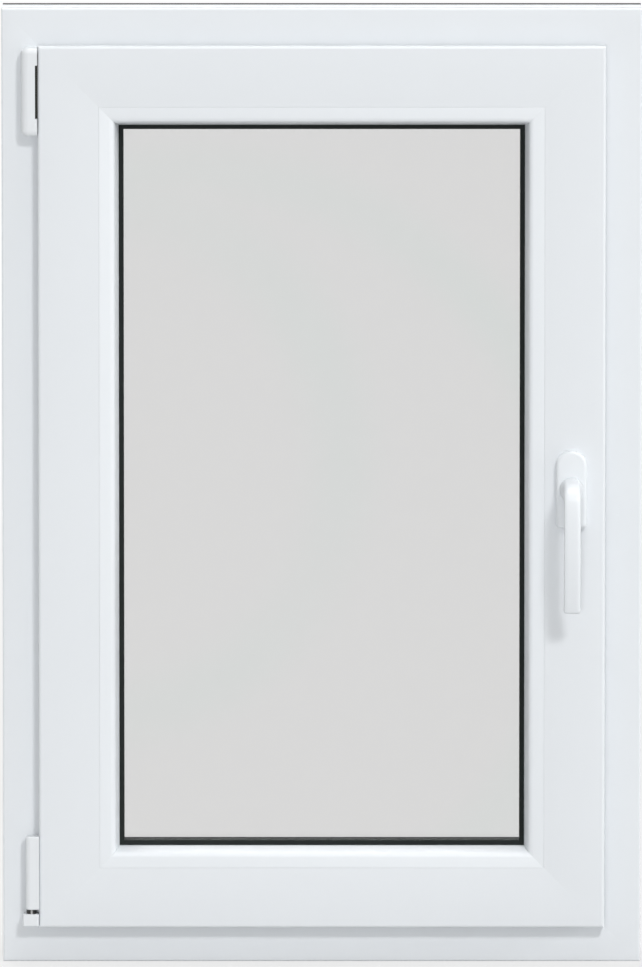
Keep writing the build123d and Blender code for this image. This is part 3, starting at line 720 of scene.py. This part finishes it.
def bowed(start, end, share):
    """Points of the arc that leaves start straight down and reaches end, at shares of its turn. Its
    radius is half the squared chord over the sideways distance."""
    side, drop = end[0] - start[0], end[1] - start[1]
    radius = (side ** 2 + drop ** 2) / (2 * abs(side))
    turn = np.arcsin(abs(drop) / radius) * share
    across = np.sign(side) * radius * (1 - np.cos(turn))
    return np.stack([start[0] + across, start[1] - radius * np.sin(turn)], 1)


def quarter_bend(start, radius, share):
    """Points of a quarter turn that leaves start straight out and ends straight down."""
    turn = share * np.pi / 2
    return np.stack([start[0] + radius * np.sin(turn), start[1] - radius * (1 - np.cos(turn))], 1)


def grip_shift(share):
    """How far the grip stands out from a plain arc at a share of its length: a straight line from behind
    the arc at the elbow to before it at the tip, and a parabola that is highest halfway."""
    return GRIP_TUCK * (2 * share - 1) + GRIP_BULGE * share * (1 - share)


def lever_rings():
    """Sections between the lever's upper and lower edges, seen from the side. Each is a superellipse across
    the two edges and the width; its exponent grows from 2 at the round collar to a near rectangle, and
    its sizes ease from the collar's to the bar's. The last ones shrink in a quarter round at the tip."""
    half = NECK_HEIGHT / 2
    collar_front = ROSETTE_THICKNESS + COLLAR_STAND
    collar_back = ROSETTE_THICKNESS - COLLAR_SEAT + COLLAR_CLEARANCE
    share = np.linspace(0, 1, BEND_STEPS + 1)[1:]
    grip_back = LEVER_REACH - LEVER_THICKNESS
    elbow, crook = (LEVER_REACH - ELBOW_ROUND, half), (grip_back - CROOK_ROUND, -half)
    outs = np.linspace(collar_front, NECK_REACH, NECK_STEPS)
    neck_up = np.stack([np.append(outs, elbow[0]), np.full(NECK_STEPS + 1, half)], 1)
    neck_down = np.stack([np.append(outs, crook[0]), np.full(NECK_STEPS + 1, -half)], 1)
    bend_up, bend_down = quarter_bend(elbow, ELBOW_ROUND, share), quarter_bend(crook, CROOK_ROUND, share)
    tip = LEVER_REACH - LEVER_BOW
    long_share = np.linspace(0, 1, GRIP_STEPS + 1)[1:]
    grip_up = bowed(bend_up[-1], (tip, -LEVER_LENGTH), long_share)
    grip_down = bowed(bend_down[-1], (tip - LEVER_END_THICKNESS, -LEVER_LENGTH), long_share)
    upper = np.concatenate([neck_up, bend_up, grip_up])
    lower = np.concatenate([neck_down, bend_down, grip_down])
    out = np.clip((upper[:, 0] - collar_front) / (NECK_REACH - collar_front), 0, 1)
    out[len(neck_up):] = 1
    ease = out ** 2 * (3 - 2 * out)
    grip_top = half - ELBOW_ROUND
    for edge in (upper, lower):
        edge[:, 0] += ease * grip_shift((grip_top - edge[:, 1]) / (LEVER_LENGTH + grip_top))
    centre, arm = (upper + lower) / 2, (upper - lower) / 2
    length = np.linalg.norm(arm, axis=1)
    flare = (COLLAR_RADIUS + (length - COLLAR_RADIUS) * ease) / length
    arm = arm * flare[:, None]
    width = COLLAR_RADIUS + (LEVER_WIDTH / 2 - COLLAR_RADIUS) * ease
    power = 2 + (SQUARENESS - 2) * ease
    quarter = np.linspace(0, np.pi / 2, TIP_STEPS + 1)[1:]
    end_dir = centre[-1] - centre[-2]
    end_dir /= np.linalg.norm(end_dir)
    centre[-1] -= end_dir * TIP_ROUND
    tips = centre[-1] + end_dir * (TIP_ROUND * np.sin(quarter))[:, None]
    lessen = TIP_ROUND * (1 - np.cos(quarter))
    tip_arm = arm[-1] * (1 - lessen / np.linalg.norm(arm[-1]))[:, None]
    tip_width = width[-1] - lessen
    centre = np.concatenate([[[collar_back, 0]], centre, tips])
    arm = np.concatenate([arm[:1], arm, tip_arm])
    width = np.concatenate([width[:1], width, tip_width])
    power = np.concatenate([power[:1], power, np.full(len(tips), SQUARENESS)])[:, None]
    theta = np.linspace(0, 2 * np.pi, LEVER_POINTS, endpoint=False)[None, :]
    cosine, sine = np.cos(theta), np.sin(theta)
    right = width[:, None] * np.sign(cosine) * np.abs(cosine) ** (2 / power)
    lift = np.sign(sine) * np.abs(sine) ** (2 / power)
    reach = centre[:, :1] + arm[:, :1] * lift
    up = centre[:, 1:] + arm[:, 1:] * lift
    return from_handle(right, up, reach)


rings = lever_rings()
grip_section = rings[len(rings) // 2][:, ::2]
lever = mesh_piece("lever_casting", rings[:, ::-1], grip_section, white_lacquer, sharp=LEVER_SMOOTH_ANGLE)
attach(lever, "handle")
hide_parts("handle_lever")
finish_node("handle_spindle", hinge_steel)

# Drain caps
# Two small hoods over the drain slots on the outside of the sill, open underneath. They are moulded of
# the same white plastic as the hinge covers and pressed on.
for node in ("drain_cap_left", "drain_cap_right"):
    finish_node(node, white_moulding)

# Floor, light and camera
# A plain pale floor in an even surround that is a little brighter from the lower left. Five soft lamps: a
# key from the upper right front, a low one in front, one from the right, one overhead and one behind.
# The front lamp stays out of reflections and glass, where its disc would show in the panes.
FLOOR_HALF = 120.0
FLOOR_GREY = (0.52, 0.52, 0.52)
FLOOR_ROUGHNESS = 0.9
FLOOR_LIFT = 0.70
FLOOR_FADE = (1.2, 6.0)
SURROUND_LEVEL = 0.43
SURROUND_SWING = 0.20
SURROUND_BRIGHT_SIDE = (-0.80, 0.0, -0.60)

# Each lamp's direction from the window's middle, its distance, its width and its watts.
LAMPS = {
    "key_lamp": ((0.27, -0.79, 0.55), 24.0, 4.0, 1760.0),
    "front_lamp": ((-0.04, -0.98, 0.06), 14.0, 2.4, 425.0),
    "right_lamp": ((0.96, -0.10, 0.25), 8.0, 2.2, 200.0),
    "top_lamp": ((0.05, -0.03, 1.0), 8.0, 3.0, 200.0),
    "back_lamp": ((-0.25, 0.62, 0.74), 8.0, 4.0, 290.0),
}
NOT_MIRRORED = ("front_lamp",)

IMAGE_HEIGHT = 967
CAMERA_DISTANCE = 12.0
CAMERA_RISE = 0.0725
CAMERA_SHIFT = 0.15
PICTURE_WIDTH = 639.0
PICTURE_RIGHT = 0.8
PICTURE_TOP = 8.4
SENSOR = 36.0
CLIP_END = 500.0

floor_mesh = bpy.data.meshes.new("floor")
floor_corners = [(FLOOR_HALF * x, FLOOR_HALF * y, 0) for x, y in ((-1, -1), (1, -1), (1, 1), (-1, 1))]
floor_mesh.from_pydata(floor_corners, [], [(0, 1, 2, 3)])
floor = bpy.data.objects.new("floor", floor_mesh)
bpy.context.scene.collection.objects.link(floor)


def seen_straight(made, links):
    """1 for rays that the eye sends out by mirror reflection or through glass, before any matt surface
    scatters them, else 0."""
    path, either, scattered, straight = (made.new(kind) for kind in (
        "ShaderNodeLightPath", "ShaderNodeMath", "ShaderNodeMath", "ShaderNodeMath"))
    either.operation, scattered.operation, straight.operation = "MAXIMUM", "LESS_THAN", "MULTIPLY"
    scattered.inputs[1].default_value = 0.5
    links.new(path.outputs["Is Glossy Ray"], either.inputs[0])
    links.new(path.outputs["Is Transmission Ray"], either.inputs[1])
    links.new(path.outputs["Diffuse Depth"], scattered.inputs[0])
    links.new(either.outputs[0], straight.inputs[0])
    links.new(scattered.outputs[0], straight.inputs[1])
    return path, straight


material, made, links, shader = new_material("pale_floor")
shader.inputs["Base Color"].default_value = (*FLOOR_GREY, 1)
shader.inputs["Roughness"].default_value = FLOOR_ROUGHNESS
shader.inputs["Specular IOR Level"].default_value = 0.0
floor_path, either = seen_straight(made, links)
glow, both = made.new("ShaderNodeEmission"), made.new("ShaderNodeMixShader")
lift, most = made.new("ShaderNodeMath"), made.new("ShaderNodeMath")
lift.operation, most.operation = "MULTIPLY", "MAXIMUM"
place, away, fade = (made.new(kind) for kind in (
    "ShaderNodeTexCoord", "ShaderNodeVectorMath", "ShaderNodeMapRange"))
away.operation = "LENGTH"
fade.interpolation_type = "SMOOTHSTEP"
fade.inputs["From Min"].default_value, fade.inputs["From Max"].default_value = FLOOR_FADE
fade.inputs["To Min"].default_value = FLOOR_LIFT
fade.inputs["To Max"].default_value = 1.0
links.new(place.outputs["Object"], away.inputs[0])
links.new(away.outputs["Value"], fade.inputs["Value"])
links.new(fade.outputs["Result"], lift.inputs[1])
links.new(floor_path.outputs["Is Camera Ray"], lift.inputs[0])
links.new(lift.outputs[0], most.inputs[0])
links.new(either.outputs[0], most.inputs[1])
links.new(most.outputs[0], both.inputs["Fac"])
links.new(shader.outputs["BSDF"], both.inputs[1])
links.new(glow.outputs["Emission"], both.inputs[2])
links.new(both.outputs["Shader"], made["Material Output"].inputs["Surface"])
floor_mesh.materials.append(material)

world = bpy.data.worlds.new("surround")
bpy.context.scene.world = world
world.use_nodes = True
made, links = world.node_tree.nodes, world.node_tree.links
sky = made["Background"]
sky.inputs["Color"].default_value = (1, 1, 1, 1)
path, either = seen_straight(made, links)
seen = made.new("ShaderNodeMath")
seen.operation = "MAXIMUM"
links.new(path.outputs["Is Camera Ray"], seen.inputs[0])
links.new(either.outputs[0], seen.inputs[1])
place, dot, level = (made.new(kind) for kind in (
    "ShaderNodeTexCoord", "ShaderNodeVectorMath", "ShaderNodeMath"))
dot.operation = "DOT_PRODUCT"
dot.inputs[1].default_value = SURROUND_BRIGHT_SIDE
level.operation = "MULTIPLY_ADD"
level.inputs[1].default_value = SURROUND_SWING
level.inputs[2].default_value = SURROUND_LEVEL
strength = made.new("ShaderNodeMix")
links.new(place.outputs["Generated"], dot.inputs[0])
links.new(dot.outputs["Value"], level.inputs[0])
links.new(seen.outputs[0], strength.inputs["Factor"])
links.new(level.outputs[0], strength.inputs["A"])
strength.inputs["B"].default_value = 1.0
links.new(strength.outputs["Result"], sky.inputs["Strength"])

middle = np.array([0, ROOM_FACE, WINDOW_HEIGHT / 2])
for name, (direction, distance, size, watts) in LAMPS.items():
    lamp_data = bpy.data.lights.new(name, "AREA")
    lamp_data.shape = "DISK"
    lamp_data.size = size
    lamp_data.energy = watts
    lamp = bpy.data.objects.new(name, lamp_data)
    bpy.context.scene.collection.objects.link(lamp)
    towards = np.array(direction) / np.linalg.norm(direction)
    lamp.location = middle + distance * towards
    lamp.rotation_euler = (math.acos(towards[2]), 0, math.atan2(-towards[1], -towards[0]) - math.pi / 2)
    lamp.visible_camera = False
    lamp.visible_glossy = name not in NOT_MIRRORED
    lamp.visible_transmission = name not in NOT_MIRRORED

# The camera stands above the head and looks slightly down; the lens is shifted the rest of the way, so
# that the frame's top edge falls where the picture has it.
camera_z = WINDOW_HEIGHT + CAMERA_RISE * CAMERA_DISTANCE
shifted = CAMERA_SHIFT * IMAGE_HEIGHT / PICTURE_WIDTH * WINDOW_WIDTH
pitch = math.atan((camera_z - WINDOW_HEIGHT / 2 - shifted) / CAMERA_DISTANCE)


def seen_from_camera(drop):
    """Depth along the line of sight, and height over it, of a point on the frame's room face that lies
    the given drop below the camera."""
    depth = CAMERA_DISTANCE * math.cos(pitch) + drop * math.sin(pitch)
    return depth, CAMERA_DISTANCE * math.sin(pitch) - drop * math.cos(pitch)


depth, _ = seen_from_camera(camera_z - WINDOW_HEIGHT / 2)
focal = PICTURE_WIDTH * depth / WINDOW_WIDTH
top_depth, top_height = seen_from_camera(camera_z - WINDOW_HEIGHT)
top_pixel = IMAGE_HEIGHT / 2 - focal * top_height / top_depth
camera_data = bpy.data.cameras.new("camera")
camera_data.sensor_fit = "VERTICAL"
camera_data.sensor_height = SENSOR
camera_data.lens = focal * SENSOR / IMAGE_HEIGHT
camera_data.shift_x = -PICTURE_RIGHT / IMAGE_HEIGHT
camera_data.shift_y = (PICTURE_TOP - top_pixel) / IMAGE_HEIGHT
camera_data.clip_end = CLIP_END
camera = bpy.data.objects.new("camera", camera_data)
camera.location = (0, ROOM_FACE - CAMERA_DISTANCE, camera_z)
camera.rotation_euler = (math.pi / 2 - pitch, 0, 0)
bpy.context.scene.collection.objects.link(camera)
bpy.context.scene.camera = camera
bpy.context.scene.view_settings.view_transform = "Standard"
